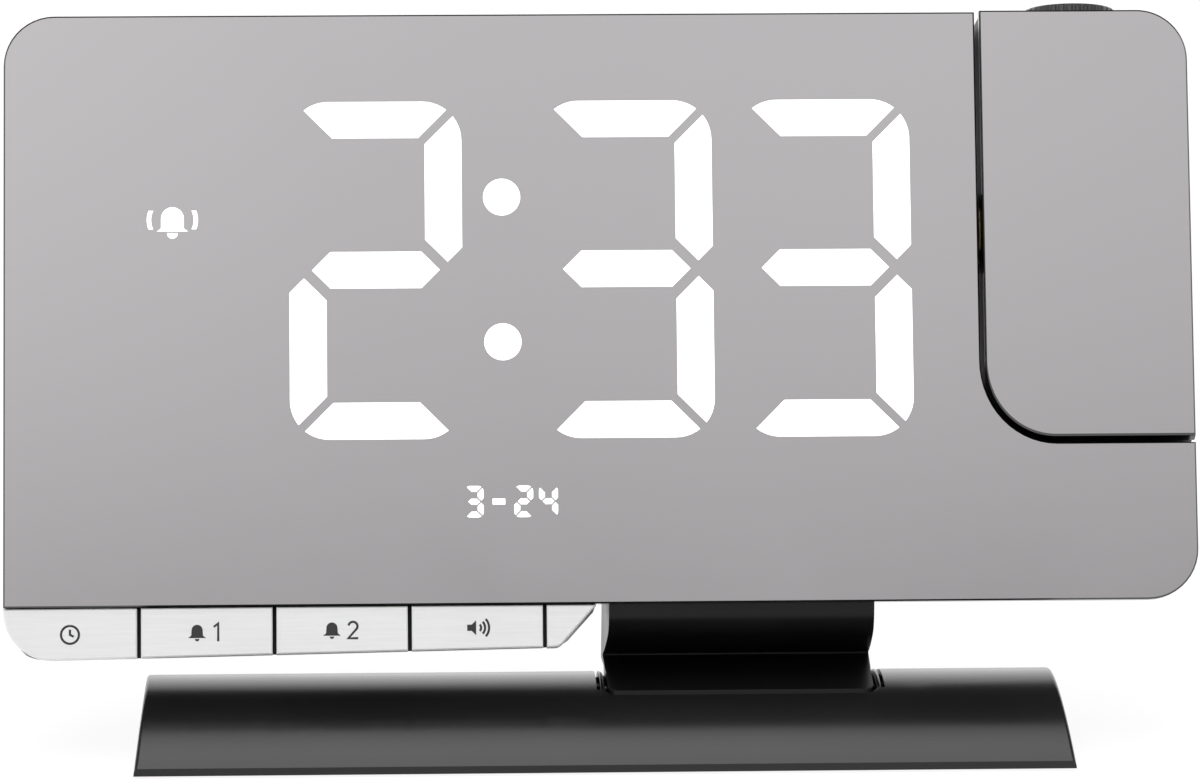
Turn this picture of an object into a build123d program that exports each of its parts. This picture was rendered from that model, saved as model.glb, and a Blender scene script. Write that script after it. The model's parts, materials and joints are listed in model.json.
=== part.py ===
from build123d import *
import os
from math import cos, radians, sin, sqrt, tan

# Projection alarm clock. Millimetres, X to the right, Y to the back, Z up, feet standing on Z = 0.
# The clock and its projector head are drawn upright, with the mirror's face at y = 0 and its lower
# edge at z = 0, and stand() then leans them back and lifts them over the base, whose middle is at
# y = 0. At the end everything moves forward, so that the origin is under the whole clock's middle.

# ---- mirror panel and case ----
panel_width = 188.0
panel_height = 94.0
corner_radius = 8.0
mirror_thickness = 2.0
mirror_bevel = 0.25
case_depth = 25.0
case_split = 19.0  # depth at which the rear case meets the front case
case_inset = 0.4  # overhang of the mirror over the case
case_wall = 2.0
front_wall = 1.5
underside_draft = 9.0  # degrees by which the case's underside rises to the back
back_fillet = 4.0

# ---- stance ----
middle_y = 6.5  # middle of the whole clock from front to back, measured from the base's middle
lean_angle = 16.0
panel_foot_y = -12.0
panel_foot_z = 24.9

# ---- projector head ----
head_width = 33.1
head_length = 68.2
head_side_gap = 0.8
head_sweep_gap = 1.05
head_corner = 11.0
head_rise = 0.25  # how far the head's top stands above the panel's
head_inset = 0.3
head_wall = 1.8

# ---- pivot of the head ----
pivot_radius = 5.0
pivot_bore = 3.6
pivot_clearance = 0.06
pivot_flange_radius = 7.5
pivot_flange_thickness = 1.5
pivot_collar_radius = 6.4
pivot_collar_gap = 0.3
pivot_washer_thickness = 0.8
pivot_washer_radius = 6.4
pivot_nut_thickness = 3.0
pivot_nut_width = 13.0

# ---- projection optics ----
lens_offset = 0.85  # lens axis, to the left of the head's middle
focus_ring_radius = 7.5
focus_ring_height = 2.3
focus_ring_gap = 0.1
focus_ribs = 36
focus_rib_depth = 0.35
barrel_outer = 6.0
barrel_inner = 5.0
barrel_length = 16.0
barrel_stand = 0.9
cell_clearance = 0.06
cell_wall = 0.85
cell_length = 10.6
cell_depth = 0.45  # top of the lens cell below the top of the barrel
lens_seat = 1.4  # depth of the lens's rim in its cell
lens_rim = 1.2
lens_crown = 0.7
lcd_size = 15.0
lcd_depth = 11.0
lcd_thickness = 1.2
lcd_gap = 15.65  # between the barrel and the LCD below it
optics_rib = 1.5
head_board_gap = 16.4  # between the LCD and the board below it
head_board_width = 26.0
head_board_depth = 13.0
led_body = 5.0
led_body_height = 1.6
led_dome = 1.8
vent_rows = 7
vent_pitch = 3.0
vent_height = 1.2
vent_length = 14.0

# ---- lit display ----
digit_width = 27.3
digit_height = 53.85
bar_thickness = 5.85
digit_corner = 6.2
bar_corner_gap = 1.0
bar_node_gap = 1.25
bar_node_offset = 2.3  # from a digit's outer edge to the point where its middle bars meet
digit_margin = 3.0  # between the digits' tops and the window's
units_margin = 2.0  # between the last digit and the window's right edge
tens_pitch = 31.45
hours_pitch = 39.65
colon_pitch = 19.7  # from the colon to the middle of the tens of minutes
colon_spread = 11.55  # of its dots, from the digits' middle
colon_radius = 2.95
small_digit_width = 3.0
small_digit_height = 5.0
small_bar = 0.95
small_corner = 0.9
small_gap = 0.16
small_node_offset = 0.4
small_pitch = 3.9
small_dash = 2.0
date_pitch = 18.6  # from the date's middle to the middle of the tens of minutes
date_share = 0.406  # how far up the date stands in its room below the digits
bell_margin = 11.1  # from the window's left edge
bell_drop = 16.7  # from the digits' tops to the bell's
bell_height = 5.1
bell_width = 5.0
diffuser_set_back = 0.03
diffuser_depth = 3.2

# ---- display block and boards ----
window_side_margin = 15.5  # from the mirror's left edge
window_head_margin = 9.5  # from the projector head
window_bottom = 8.6
window_top_margin = 11.0  # below the mirror's top
reflector_clearance = 0.2
reflector_depth = 8.0
board_thickness = 1.6
display_board_margin = 0.7
led_size = 2.2
led_height = 0.8
board_speaker_gap = 10.0
board_pivot_gap = 1.9
main_board_bottom = 11.7
main_board_top_margin = 17.6  # below the mirror's top
main_board_front = 14.3
boss_radius = 2.5
m2_head_radius = 1.9
m2_head_height = 1.2
m2_radius = 1.0
m2_length = 5.5
thread_clearance = 0.02
main_boss_side = 4.0  # bosses of the main board, from its edges
main_boss_low = 12.3
main_boss_high = 5.4
chip_height = 1.2
chips = ((35.0, 24.4, 12.0, 12.0), (17.0, 24.4, 7.0, 9.0), (41.0, 10.4, 5.0, 6.5))
# each chip's distance from the board's right and top edges, width and height
cans = ((30.0, 20.3, 3.1, 5.6), (21.5, 20.3, 3.1, 5.6), (13.5, 20.3, 2.4, 5.2))
# each can's distance from the board's right and lower edges, radius and height
crystal_side = 23.0
crystal_drop = 10.4
crystal_length = 10.5
crystal_width = 4.4
crystal_height = 3.5
chip_edge = 0.3
can_edge = 0.4

# ---- speaker ----
speaker_margin = 32.0  # from the mirror's left edge
speaker_z = 46.0
speaker_radius = 14.0
speaker_flange = 1.2
speaker_depth = 8.0
magnet_radius = 8.0
magnet_depth = 2.5
grille_hole = 0.8
grille_pitch = 3.0
grille_rings = 4

# ---- coin cell ----
coin_radius = 10.0
coin_thickness = 3.2
coin_margin = 21.0  # from the main board's left edge
coin_z = 43.0
coin_floor = 1.1
coin_clearance = 0.15
pocket_size = 26.0
pocket_depth = 6.5
pocket_wall = 1.2
holder_clearance = 0.2
holder_height = 3.7
door_margin = 2.0
door_tab = 7.0
door_thickness = 1.6
door_clearance = 0.15
door_pad = 1.5
door_corner = 2.0
door_grips = 4
door_grip_pitch = 2.0
door_grip_width = 0.9
door_grip_length = 12.0
door_grip_depth = 0.5
finger_notch = 4.0

# ---- sockets ----
jack_margin = 14.0  # from the main board's left edge
socket_pitch = 22.0
socket_z = 18.0
jack_size = 9.0
jack_bore = 2.8
jack_pin = 0.95
jack_bore_depth = 7.5
usb_width = 13.1
usb_height = 5.8
usb_depth = 12.8
usb_shell = 0.5
usb_tongue = 1.9
usb_tongue_width = 10.6
usb_tongue_length = 8.4
usb_tongue_rise = 0.9
usb_back_wall = 2.0
socket_clearance = 0.15
socket_set_back = 0.2
antenna_margin = 24.0  # from the mirror's right edge
antenna_z = 10.0
antenna_radius = 1.6

# ---- case screws ----
screw_side = 8.5  # corner screws, from the mirror's side edges
screw_drop = 12.0  # upper left screw, below the mirror's top
screw_low = 8.0
screw_head_side = 8.9  # screw beside the projector head, from it
screw_head_drop = 6.0
screw_neck_side = 29.8  # screw beside the neck, from its middle
screw_neck_z = 5.6
case_screw_radius = 1.25
case_screw_length = 9.0
case_screw_head = 2.3
case_screw_head_height = 1.6
case_boss_radius = 3.0
case_screw_seat = 3.0  # depth of the head's seat below the back face
neck_screw_spread = 12.0
neck_screw_y = 15.6

# ---- top keys ----
top_keys_margin = 70.2  # from the row's middle to the inner wall beside the head
snooze_space = 11.0  # between the long key and the next
top_key_space = 5.8
top_key_width = 12.6
top_key_depth = 5.2
snooze_width = 32.0
snooze_depth = 6.0
top_key_y = 12.0
top_key_rise = 1.8
top_key_travel = 0.6
snooze_dish = 0.35
snooze_dot = 0.6
key_corner = 1.2
key_edge = 0.5
key_clearance = 0.2
key_flange = 0.7
key_flange_height = 1.1
key_flange_gap = 0.25
key_stem = 1.5
top_board_drop = 5.0  # from the case's top wall down to the board
top_board_width = 10.0
top_board_thickness = 1.2
top_boss_radius = 1.8
switch_size = 5.0
switch_height = 1.8
plunger_radius = 1.2
plunger_height = 0.5
switch_gap = 0.05

# ---- key strip under the mirror ----
strip_left_height = 8.3
strip_slope = 1.04
strip_gap_above = 0.15
strip_front = 0.4
strip_corner = 7.6
strip_key_pitch = 21.2
strip_key_gap = 0.65
strip_key_thickness = 2.4
strip_bevel = 0.2
strip_key_travel = 0.5
strip_end_length = 8.23  # from the last key to the slanted end, at the mirror's lower edge
strip_end_slant = 0.888  # run of the slanted end for each millimetre down
strip_end_corner = 1.6
strip_stem_z = -2.4
chin_inset = 0.15
chin_front = 3.6
chin_back = 16.0
chin_wall = 1.5
chin_reach = 4.5  # height of the chin's joint with the case above the mirror's edge
strip_board_front = 9.0
strip_board_inset = 7.0  # from the mirror's left edge
strip_board_end = 12.03  # from the strip's slanted end
strip_board_bottom = -3.4
strip_board_top = 3.0
strip_board_thickness = 1.2
strip_boss_z = 0.7
strip_boss_radius = 2.2
strip_switch_width = 3.5
strip_switch_height = 2.0
strip_switch_depth = 2.1

# ---- neck and tilt hinge ----
neck_gap = 1.42  # between the strip's slanted end and the neck
neck_width = 43.0  # at its back face
neck_taper = 1.5  # degrees by which each side narrows to the front
foot_width = 42.2
foot_top = 11.4
neck_front_depth = 3.0  # depths in the case at which the neck meets its underside
neck_back_depth = 22.0
knee_z = 20.4
knee_radius = 5.8
throat_bow = 0.5  # how far the face from the knee to the crease bulges
crease_y = 8.0
crease_top = 12.8
crease_bottom = 12.55
neck_back_y = 12.4
neck_back_z = 11.5
heel_y = 10.0
heel_z = 5.9
hinge_y = 3.0
hinge_z = 5.4
hinge_pin_radius = 1.5
hinge_pin_clearance = 0.05
barrel_radius = 3.3
foot_gap = 0.35
foot_start_angle = 157.0
foot_corner = 1.8
neck_wall = 2.2
neck_skin = 2.5  # height of the cavity's floor over the throat
neck_cavity_half = 17.0
cavity_floor = 15.6
cover_bottom = 14.2
cover_top = 21.2
cover_thickness = 1.6
cover_half = 18.6
cover_clearance = 0.1
washer_radius = 3.0

# ---- base ----
base_width = 147.0
base_depth = 48.0
base_height = 10.5
base_lip = 1.2
base_wall = 2.0
base_draft = 7.0  # degrees by which its ends lean inwards
base_edge = 0.6
base_stand = 0.4  # height of the shell's rim over the table
notch_front = -8.4
notch_back = 15.0
notch_corner = 2.2
notch_edge = 0.65
ear_gap = 0.4
ear_thickness = 0.75
slit_width = 0.6
slit_front = -7.4
slit_depth = 4.0
ear_boss_length = 3.0
ear_boss_radius = 4.0
floor_thickness = 1.2
floor_clearance = 0.35
floor_margin = 1.7
base_screw_margin = 9.5  # left screw, from the base's end
base_screw_gap = 7.3  # middle screw, from the hinge's left boss
base_screw_radius = 1.1
base_screw_head = 2.1
base_screw_head_height = 1.0
base_screw_length = 5.0
base_post = 2.8
pad_height = 1.0
foot_pad_end = 11.5  # feet, from the base's ends and long sides
foot_pad_side = 9.2
foot_pad_radius = 4.5
foot_pad_height = 1.0
weight_gap = 6.0  # between the weight and the screws beside it
weight_depth = 21.0
weight_height = 4.6

# ---- derived places ----
panel_left = -panel_width / 2
panel_right = panel_width / 2
case_top = panel_height - case_inset
case_inner_top = case_top - case_wall
case_inner_back = case_depth - case_wall
case_front = mirror_thickness
head_left = panel_right - head_width
head_top = panel_height + head_rise
pivot_y = case_depth / 2
pivot_z = head_top - head_length / 2
head_sweep = sqrt((head_length / 2) ** 2 + pivot_y**2)
lens_x = head_left + head_width / 2 - lens_offset
base_radius = ((base_depth / 2) ** 2 + (base_height - base_lip) ** 2) / (2 * (base_height - base_lip))
base_crest = base_stand + base_height
base_arc_z = base_crest - base_radius
top_board_z = case_inner_top - top_board_drop
switch_top = top_board_z + switch_height + plunger_height
notch_half = foot_width / 2 + ear_gap
hinge_floor = base_stand + floor_thickness
main_board_back = main_board_front + board_thickness
strip_switch_front = strip_board_front - strip_switch_depth - plunger_height
foot_radius = sqrt((hinge_y - notch_front) ** 2 + (base_crest - 1.05 - hinge_z) ** 2) - foot_gap

case_side = head_left - head_side_gap - case_inset  # the case's face beside the head
case_side_inner = case_side - case_wall
washer_left = case_side_inner - pivot_washer_thickness
nut_left = washer_left - pivot_nut_thickness
spindle_left = nut_left - 1

window_left = panel_left + window_side_margin
window_right = head_left - window_head_margin
window_top = panel_height - window_top_margin
digit_base = window_top - digit_margin - digit_height
digit_middle = digit_base + digit_height / 2
units_x = window_right - units_margin - digit_width / 2
tens_x = units_x - tens_pitch
hours_x = tens_x - hours_pitch
colon_x = tens_x - colon_pitch
date_x = tens_x - date_pitch
date_base = window_bottom + date_share * (digit_base - window_bottom - small_digit_height)
bell_x = window_left + bell_margin
bell_base = digit_base + digit_height - bell_drop - bell_height

speaker_x = panel_left + speaker_margin
main_board_left = speaker_x + speaker_radius + board_speaker_gap
main_board_right = spindle_left - board_pivot_gap
main_board_top = panel_height - main_board_top_margin
main_boss_places = [
    (x, z)
    for x in (main_board_left + main_boss_side, main_board_right - main_boss_side)
    for z in (main_board_bottom + main_boss_low, main_board_top - main_boss_high)
]
jack_x = main_board_left + jack_margin
usb_x = jack_x + socket_pitch
coin_x = main_board_left + coin_margin
antenna_x = panel_right - antenna_margin

top_keys_x = case_side_inner - top_keys_margin
key_near = (snooze_width + top_key_width) / 2 + snooze_space
key_far = key_near + top_key_width + top_key_space
top_key_places = [top_keys_x + offset for offset in (-key_far, -key_near, key_near, key_far)]
boss_near = (snooze_width + snooze_space) / 2
boss_far = (key_near + key_far) / 2
top_boss_places = [top_keys_x + offset for offset in (-boss_far, -boss_near, boss_near, boss_far)]

strip_end_x = panel_left + 4 * strip_key_pitch + strip_end_length
strip_boss_places = (panel_left + strip_key_pitch, panel_left + 3 * strip_key_pitch)
neck_x = strip_end_x + neck_gap + neck_width / 2
case_screw_places = (
    (panel_left + screw_side, panel_height - screw_drop), (panel_left + screw_side, screw_low),
    (head_left - screw_head_side, panel_height - screw_head_drop),
    (neck_x + screw_neck_side, screw_neck_z), (panel_right - screw_side, screw_low),
)
ear_reach = notch_half + ear_thickness + ear_boss_length
base_screw_places = (
    base_screw_margin - base_width / 2, neck_x - ear_reach - base_screw_gap,
    (neck_x + ear_reach + base_width / 2 - base_wall) / 2,
)
feet_x = base_width / 2 - foot_pad_end
feet_y = base_depth / 2 - foot_pad_side
parts = {}


# ---- drawing helpers ----
def block(x, y, z):
    """A box between (low, high) pairs."""
    middle = Pos((x[0] + x[1]) / 2, (y[0] + y[1]) / 2, (z[0] + z[1]) / 2)
    return middle * Box(x[1] - x[0], y[1] - y[0], z[1] - z[0])


def rod_x(y, z, radius, left, right):
    return Pos((left + right) / 2, y, z) * Rot(0, 90, 0) * Cylinder(radius, right - left)


def rod_y(x, z, radius, front, back):
    return Pos(x, (front + back) / 2, z) * Rot(90, 0, 0) * Cylinder(radius, back - front)


def rod_z(x, y, radius, bottom, top):
    return Pos(x, y, (bottom + top) / 2) * Cylinder(radius, top - bottom)


def polygon(*points, corners=()):
    """A face through the points; corners lists (point number, radius) pairs to round."""
    face = make_face(Polyline(*points, close=True))
    for number, radius in corners:
        near = face.vertices().sort_by_distance(Vector(*points[number]))[0]
        face = fillet(near, radius)
    return face


def slab(face, front, back):
    """Gives an upright face, drawn in x and z, its depth."""
    plane = Plane(origin=(0, back, 0), x_dir=(1, 0, 0), z_dir=(0, -1, 0))
    return extrude(plane * face, amount=back - front, dir=(0, -1, 0))


def bar(face, left, right):
    """Gives a side view, drawn in y and z, its width."""
    plane = Plane(origin=(left, 0, 0), x_dir=(0, 1, 0), z_dir=(1, 0, 0))
    return extrude(plane * face, amount=right - left, dir=(1, 0, 0))


def rectangle(left, right, bottom, top):
    return Pos((left + right) / 2, (bottom + top) / 2) * Rectangle(right - left, top - bottom)


def group(solids):
    return Compound(children=list(solids))


def stand(shape):
    """Leans a piece of the clock back and lifts it over the base."""
    return Location((0, panel_foot_y, panel_foot_z), (-lean_angle, 0, 0)) * shape


def stood(depth, height):
    """The y and z of a point of the clock once it stands."""
    lean = radians(lean_angle)
    y = panel_foot_y + height * sin(lean) + depth * cos(lean)
    return y, panel_foot_z + height * cos(lean) - depth * sin(lean)


def underside(depth, inset=case_inset):
    """Height of the case's underside at a depth."""
    return inset + (depth - case_front) * tan(radians(underside_draft))


# ---- case and head outlines ----
def panel_face(inset):
    left, right = panel_left + inset, panel_right - inset
    points = ((left, inset), (right, inset), (right, panel_height - inset), (left, panel_height - inset))
    radius = corner_radius - inset
    return polygon(*points, corners=((1, radius), (2, radius), (3, radius)))


def clear_head(form, grow):
    """Takes the room that the projector head swings in, widened by grow, out of a form."""
    left = head_left - head_side_gap - grow
    reach = head_sweep + head_sweep_gap + grow
    right = panel_right + reach
    radius = head_corner + head_sweep_gap + grow
    profile = polygon((left, 0), (right, 0), (right, reach), (left, reach), corners=((3, radius),))
    drum = revolve(Pos(0, pivot_y, pivot_z) * profile, Axis((0, pivot_y, pivot_z), (1, 0, 0)))
    above = block((left, right), (pivot_y - reach, pivot_y + reach), (pivot_z, pivot_z + reach))
    return form - drum - above


def under_wedge(inset):
    """What the rising underside takes off the case."""
    room = panel_width
    hinge = Location((0, case_front, inset), (underside_draft, 0, 0))
    return hinge * block((-room, room), (-room, room), (-room, 0))


def bevel_front(plate, bevel=mirror_bevel):
    """Bevels the rim of a mirror's or a key's face."""
    return chamfer(plate.faces().filter_by(Axis.Y).sort_by(Axis.Y)[0].edges(), bevel)


def case_form(inset, front, back, rounded=0.0):
    form = slab(panel_face(inset), front, back)
    if rounded:
        form = fillet(form.faces().sort_by(Axis.Y)[-1].edges(), rounded)
    return clear_head(form - under_wedge(inset), inset)


def head_face(inset):
    left, right = head_left + inset, panel_right - inset
    bottom = pivot_z - head_sweep
    points = ((left, bottom), (right, bottom), (right, head_top - inset), (left, head_top - inset))
    return polygon(*points, corners=((2, corner_radius - inset),))


def head_form(inset, front, back, rounded=0.0):
    """The head: square above its pivot, round below it so that it can swing."""
    left, right = head_left + inset, panel_right - inset
    reach = head_sweep - inset
    profile = polygon(
        (left, 0), (right + 1, 0), (right + 1, reach), (left, reach), corners=((3, head_corner - inset),)
    )
    drum = revolve(Pos(0, pivot_y, pivot_z) * profile, Axis((0, pivot_y, pivot_z), (1, 0, 0)))
    below = block((left - 1, right + 1), (front - 1, back + 1), (pivot_z - reach - 1, pivot_z))
    form = slab(head_face(inset), front, back) - (below - drum)
    if rounded:
        form = fillet(form.faces().sort_by(Axis.Y)[-1].edges(), rounded)
    return form


# ---- lit bars ----
def bar_faces(width, height, thick, corner, corner_gap, node_gap, node_offset):
    """The seven bars of a digit about its middle, lettered a to g from the top clockwise."""
    right, top = width / 2, height / 2
    inner = right - thick
    shelf = top - thick
    node = right - node_offset
    outline = RectangleRounded(width, height, corner)
    across = polygon(
        (-right + corner_gap, top), (right - corner_gap, top), (inner - corner_gap, shelf),
        (-inner + corner_gap, shelf),
    )
    upright = polygon(
        (right, top - corner_gap), (inner, shelf - corner_gap), (inner, node_gap + node - inner),
        (node, node_gap), (right, node_gap + right - node),
    )
    tip = node - node_gap
    middle = polygon(
        (-tip, 0), (-tip + thick / 2, thick / 2), (tip - thick / 2, thick / 2), (tip, 0),
        (tip - thick / 2, -thick / 2), (-tip + thick / 2, -thick / 2),
    )
    a = across & outline
    b = upright & outline
    c = mirror(b, Plane.XZ)
    return {
        "a": a, "b": b, "c": c, "d": mirror(a, Plane.XZ),
        "e": mirror(c, Plane.YZ), "f": mirror(b, Plane.YZ), "g": middle,
    }


def big_bars(x, lit):
    """Lit bars of a large digit in its place."""
    faces = bar_faces(
        digit_width, digit_height, bar_thickness, digit_corner, bar_corner_gap, bar_node_gap,
        bar_node_offset,
    )
    return [Pos(x, digit_middle) * faces[name] for name in lit]


def small_bars(x, lit):
    faces = bar_faces(
        small_digit_width, small_digit_height, small_bar, small_corner, small_gap, small_gap,
        small_node_offset,
    )
    return [Pos(x, date_base + small_digit_height / 2) * faces[name] for name in lit]


def date_faces():
    """The small row below the digits: 3-24."""
    middle = date_base + small_digit_height / 2
    dash_x = date_x - small_pitch / 2
    faces = small_bars(dash_x - small_pitch, "abgcd")
    faces.append(Pos(dash_x, middle) * Rectangle(small_dash, small_bar))
    faces += small_bars(dash_x + small_pitch, "abged")
    faces += small_bars(dash_x + 2 * small_pitch, "fgbc")
    return faces


def bell_faces():
    """A small bell with a sound arc on each side."""
    half = bell_width / 2
    rim = bell_height * 0.24
    dome = half * 0.72
    top = bell_base + bell_height
    body = Pos(bell_x, top - dome) * Circle(dome)
    body += polygon(
        (bell_x - dome, top - dome), (bell_x + dome, top - dome),
        (bell_x + dome, bell_base + rim + 0.5), (bell_x + half, bell_base + rim),
        (bell_x - half, bell_base + rim), (bell_x - dome, bell_base + rim + 0.5),
    )
    clapper = Pos(bell_x, bell_base + rim - 0.3) * Circle(rim * 0.7)
    clapper &= rectangle(bell_x - half, bell_x + half, bell_base, bell_base + rim - 0.25)
    faces = [body, clapper]
    centre = bell_base + bell_height * 0.6
    for side in (-1, 1):
        ring = Circle(half + 1.55) - Circle(half + 0.85)
        ring &= rectangle(-half - 2, half + 2, -1.5, 1.5)
        ring &= rectangle(0, side * (half + 2), -2, 2) if side > 0 else rectangle(-half - 2, 0, -2, 2)
        faces.append(Pos(bell_x, centre) * ring)
    return faces


def colon_faces():
    heights = (digit_middle - colon_spread, digit_middle + colon_spread)
    return [Pos(colon_x, height) * Circle(colon_radius) for height in heights]


lit_signs = {
    "digit_hours": big_bars(hours_x, "abged"),
    "digit_minute_tens": big_bars(tens_x, "abgcd"),
    "digit_minute_units": big_bars(units_x, "abgcd"),
    "colon_dots": colon_faces(),
    "alarm_icon": bell_faces(),
    "date_digits": date_faces(),
}
all_cups = [face for x in (hours_x, tens_x, units_x) for face in big_bars(x, "abcdefg")]
all_cups += colon_faces() + date_faces()


def display():
    """Mirror panel with its windows, the bars that light in them, their reflector and board."""
    panel = bevel_front(clear_head(slab(panel_face(0), 0, mirror_thickness), 0))
    for name, faces in lit_signs.items():
        lit = [slab(face, diffuser_set_back, diffuser_set_back + diffuser_depth) for face in faces]
        panel -= [slab(face, 0, mirror_thickness) for face in faces]
        parts[name] = stand(group(lit))
    parts["mirror_panel"] = stand(panel)

    gap = reflector_clearance
    left, right = window_left + gap, window_right - gap
    bottom, top = window_bottom + gap, window_top - gap
    back = case_front + reflector_depth
    reflector = slab(rectangle(left, right, bottom, top), case_front, back)
    reflector -= [slab(face, case_front, back) for face in all_cups + bell_faces()]
    parts["display_reflector"] = stand(reflector)

    edge = display_board_margin
    board_back = back + board_thickness
    board = slab(rectangle(left + edge, right - edge, bottom + edge, top - edge), back, board_back)
    parts["display_board"] = stand(board)
    leds = []
    for face in all_cups + bell_faces()[:2]:
        spot = face.bounding_box().center()
        size = min(led_size, face.bounding_box().size.X * 0.6, face.bounding_box().size.Y * 0.6)
        chip = rectangle(spot.X - size / 2, spot.X + size / 2, spot.Y - size / 2, spot.Y + size / 2)
        leds.append(slab(chip, back - led_height, back))
    parts["display_leds"] = stand(group(leds))


# ---- screws ----
def screw(radius, length, head_radius, head_height):
    """A screw standing on its head's seat at the origin, shank down, with a cross recess."""
    body = rod_z(0, 0, head_radius, 0, head_height) + rod_z(0, 0, radius, -length, 0)
    arm, slot, deep = head_radius * 0.6, head_radius * 0.18, head_height * 0.45
    top = (head_height - deep, head_height)
    return body - block((-arm, arm), (-slot, slot), top) - block((-slot, slot), (-arm, arm), top)


def case_screw():
    return screw(case_screw_radius, case_screw_length, case_screw_head, case_screw_head_height)


def board_screw():
    return screw(m2_radius, m2_length, m2_head_radius, m2_head_height)


heads_back = Rot(-90, 0, 0)  # turns a screw so that its head faces the back
heads_front = Rot(90, 0, 0)
heads_down = Rot(180, 0, 0)
screw_seat = case_depth - case_screw_seat
neck_screw_z = underside(neck_screw_y + case_screw_head) - neck_wall
neck_screw_xs = (neck_x - neck_screw_spread, neck_x + neck_screw_spread)
door_screw_z = coin_z + pocket_size / 2 + door_tab / 2
door_front = case_depth - door_thickness


def screws():
    held = [Pos(x, screw_seat, z) * heads_back * case_screw() for x, z in case_screw_places]
    held += [Pos(x, neck_screw_y, neck_screw_z) * heads_down * case_screw() for x in neck_screw_xs]
    parts["case_screws"] = stand(group(held))
    held = [Pos(x, main_board_front, z) * heads_front * board_screw() for x, z in main_boss_places]
    under_board = top_board_z - top_board_thickness
    held += [Pos(x, top_key_y, under_board) * heads_down * board_screw() for x in top_boss_places]
    for x in strip_boss_places:
        held.append(Pos(x, strip_board_front, strip_boss_z) * heads_front * board_screw())
    door_seat = case_depth - m2_head_height
    held.append(Pos(coin_x, door_seat, door_screw_z) * heads_back * board_screw())
    parts["board_screws"] = stand(group(held))


# ---- key strip ----
def strip_bottom(x):
    return -strip_left_height + (x - panel_left) * tan(radians(strip_slope))


def strip_end(z):
    """Where the strip's slanted end is at a height."""
    return strip_end_x + z * strip_end_slant


def strip_tail():
    """The lower corner of the slanted end."""
    slope = tan(radians(strip_slope))
    z = (-strip_left_height + (strip_end_x - panel_left) * slope) / (1 - strip_end_slant * slope)
    return strip_end(z), z


def chin_face(inset, top):
    tail_x, tail_z = strip_tail()
    left = panel_left + inset
    slant_top = strip_end(0) - inset
    return polygon(
        (left, top), (left, strip_bottom(left) + inset), (tail_x - inset, tail_z + inset),
        (slant_top, 0), (slant_top, top),
        corners=((1, strip_corner - inset), (2, strip_end_corner)),
    )


def chin_wedge(inset):
    room = panel_width
    corner = Location((panel_left, chin_front, strip_bottom(panel_left) + inset))
    return corner * Rot(underside_draft, -strip_slope, 0) * block((-room, room), (-room, room), (-room, 0))


def strip_key_edges(number):
    left = panel_left + number * strip_key_pitch
    return left, left + strip_key_pitch


def strip_key(number):
    """One silver key of the strip, with the stem that reaches through the chin to its switch."""
    left, right = strip_key_edges(number)
    left += strip_key_gap / 2 if number else 0
    right -= strip_key_gap / 2
    top = -strip_gap_above
    corners = ((0, strip_corner),) if number == 0 else ()
    face = polygon(
        (left, strip_bottom(left)), (right, strip_bottom(right)), (right, top), (left, top),
        corners=corners,
    )
    back = strip_front + strip_key_thickness
    cap = bevel_front(slab(face, strip_front, back), strip_bevel)
    middle = (strip_key_edges(number)[0] + strip_key_edges(number)[1]) / 2
    tip = strip_switch_front - strip_key_travel - switch_gap
    collar = chin_front + chin_wall + key_clearance
    stem = rod_y(middle, strip_stem_z, key_stem, back, tip)
    return cap + stem + rod_y(middle, strip_stem_z, key_stem + key_clearance * 2, collar, collar + 0.5)


strip_key_xs = [sum(strip_key_edges(number)) / 2 for number in range(4)]


def strip_end_cap():
    left = strip_key_edges(3)[1] + strip_key_gap / 2
    tail_x, tail_z = strip_tail()
    top = -strip_gap_above
    face = polygon(
        (left, strip_bottom(left)), (tail_x, tail_z), (strip_end(top), top), (left, top),
        corners=((1, strip_end_corner),),
    )
    return bevel_front(slab(face, strip_front, chin_front), strip_bevel)


def key_strip():
    for number in range(4):
        parts[f"strip_key_{number + 1}"] = stand(strip_key(number))
    parts["strip_end_cap"] = stand(strip_end_cap())
    back = strip_board_front + strip_board_thickness
    left, right = panel_left + strip_board_inset, strip_end_x - strip_board_end
    face = rectangle(left, right, strip_board_bottom, strip_board_top)
    board = slab(face, strip_board_front, back)
    for x in strip_boss_places:
        board -= rod_y(x, strip_boss_z, m2_radius + key_clearance, strip_board_front, back)
    parts["strip_key_board"] = stand(board)
    front = strip_board_front - strip_switch_depth
    half, tall = strip_switch_width / 2, strip_switch_height / 2
    switches = []
    for x in strip_key_xs:
        face = rectangle(x - half, x + half, strip_stem_z - tall, strip_stem_z + tall)
        body = slab(face, front, strip_board_front)
        switches.append(body + rod_y(x, strip_stem_z, tall - 0.4, strip_switch_front, front))
    parts["strip_key_switches"] = stand(group(switches))


# ---- top keys ----
def top_key(x, width, depth):
    """A key in the top wall, with its flange under the wall and its stem over a switch."""
    top = case_top + top_key_rise
    flange_top = case_inner_top - key_flange_gap
    face = RectangleRounded(width, depth, key_corner)
    cap = Pos(x, top_key_y, flange_top) * extrude(face, amount=top - flange_top)
    cap = fillet(cap.faces().sort_by(Axis.Z)[-1].edges(), key_edge)
    wide, deep = width / 2 + key_flange, depth / 2 + key_flange
    flange = block(
        (x - wide, x + wide), (top_key_y - deep, top_key_y + deep),
        (flange_top - key_flange_height, flange_top),
    )
    tip = switch_top + top_key_travel + switch_gap
    return cap + flange + rod_z(x, top_key_y, key_stem, tip, flange_top)


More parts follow.
